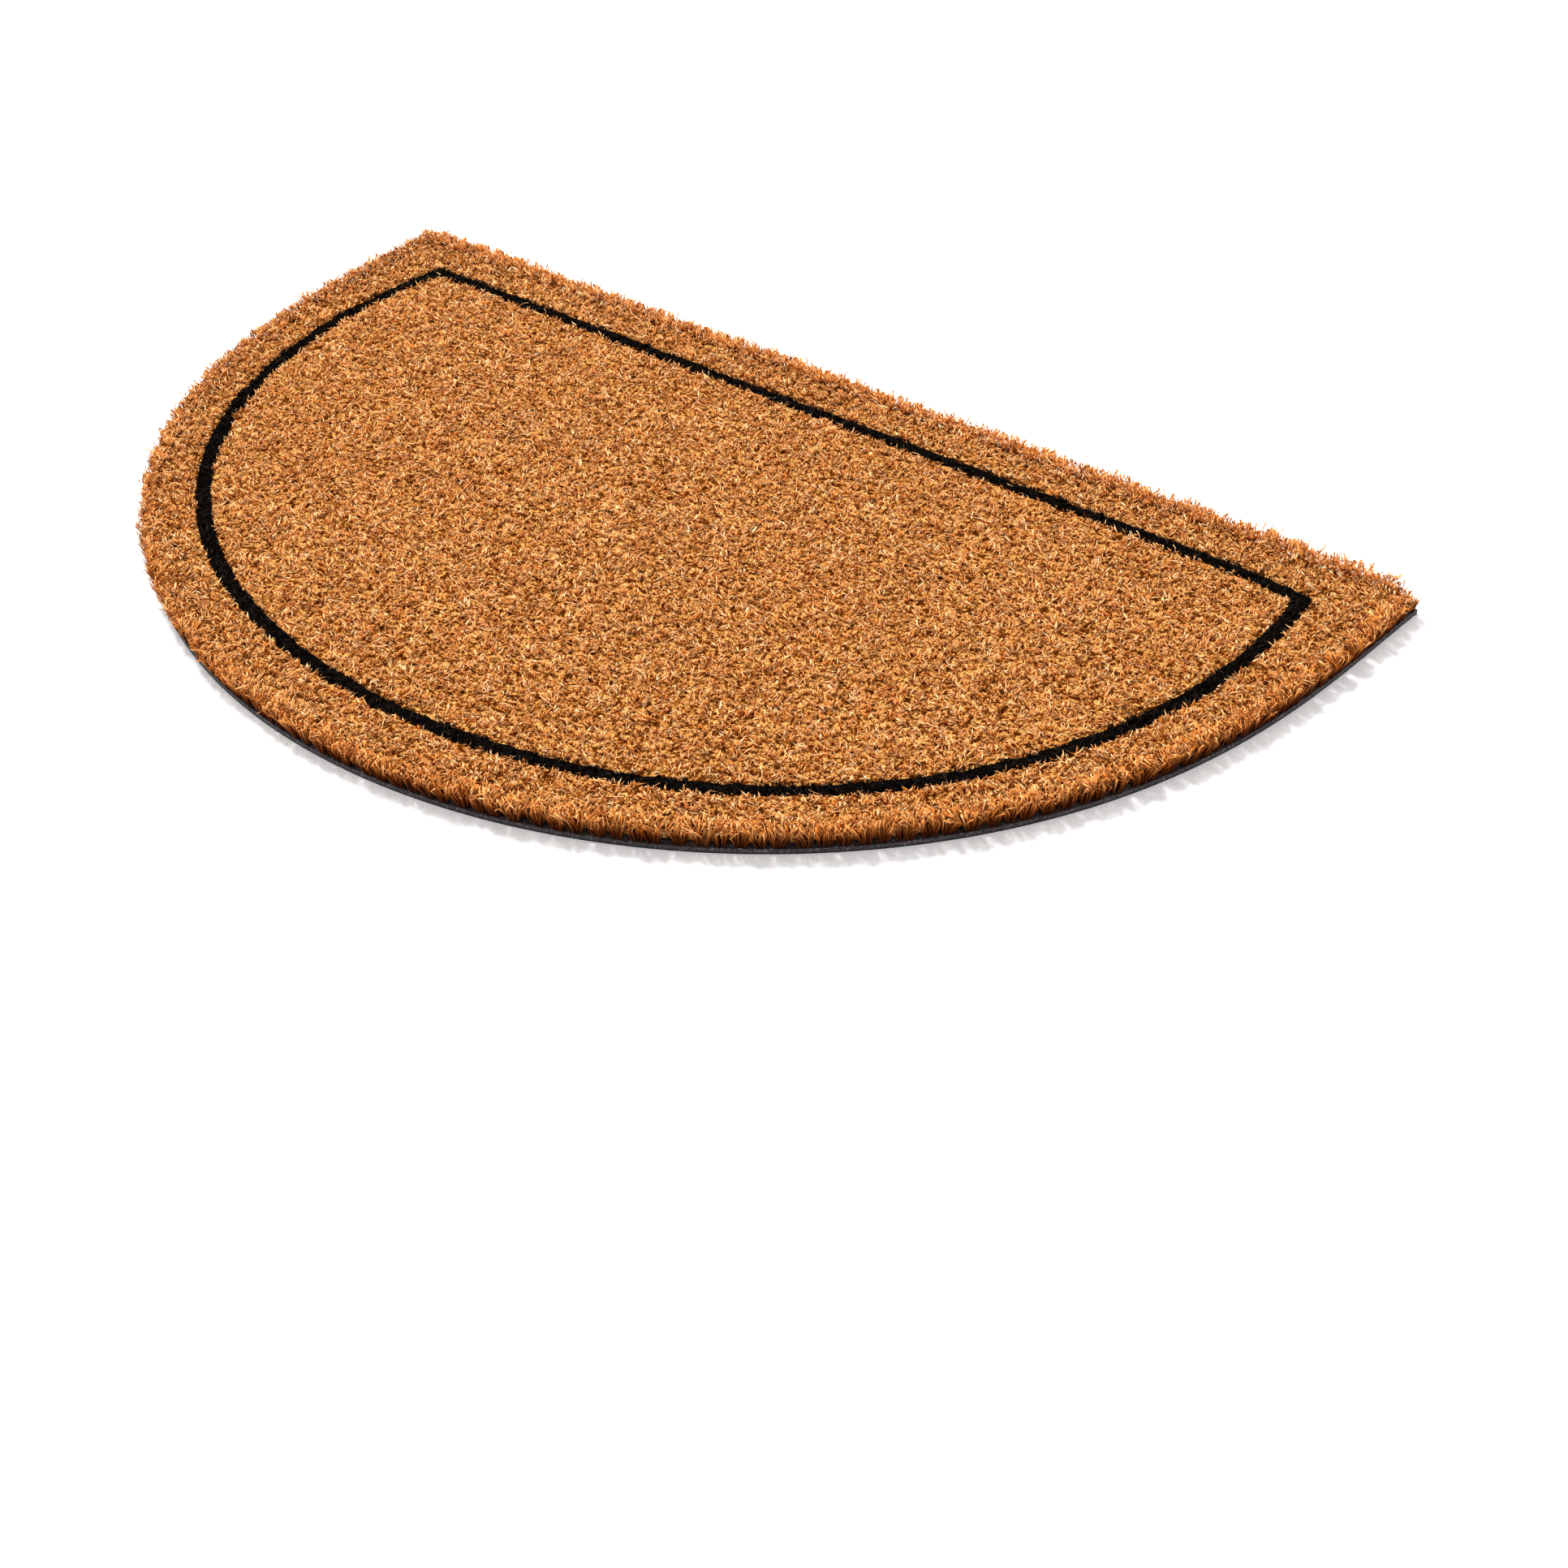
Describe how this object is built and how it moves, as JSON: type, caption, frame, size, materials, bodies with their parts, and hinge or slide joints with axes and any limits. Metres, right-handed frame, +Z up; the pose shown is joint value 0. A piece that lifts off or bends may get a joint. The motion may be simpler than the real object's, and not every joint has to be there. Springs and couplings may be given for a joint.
{
  "type": "half round doormat",
  "caption": "Half round doormat of brushed coir pile on a flat vinyl backing, with a dark line dyed parallel to its edge.",
  "frame": {"origin": "centre of the mat's plan, on the floor plane that the underside rests on", "axes": "+X along the straight edge, +Y from the nose to the straight edge, +Z up out of the pile"},
  "size_m": [0.7574, 0.459, 0.0172],
  "materials": {
    "backing": "matt dark grey vinyl, mottled at the cut edge",
    "coir_pile": "dry, matt coconut fibre, natural orange-brown, with one line dyed black"
  },
  "bodies": {
    "root": {"backing": "backing", "coir_pile": "coir_pile"}
  },
  "joints": []
}
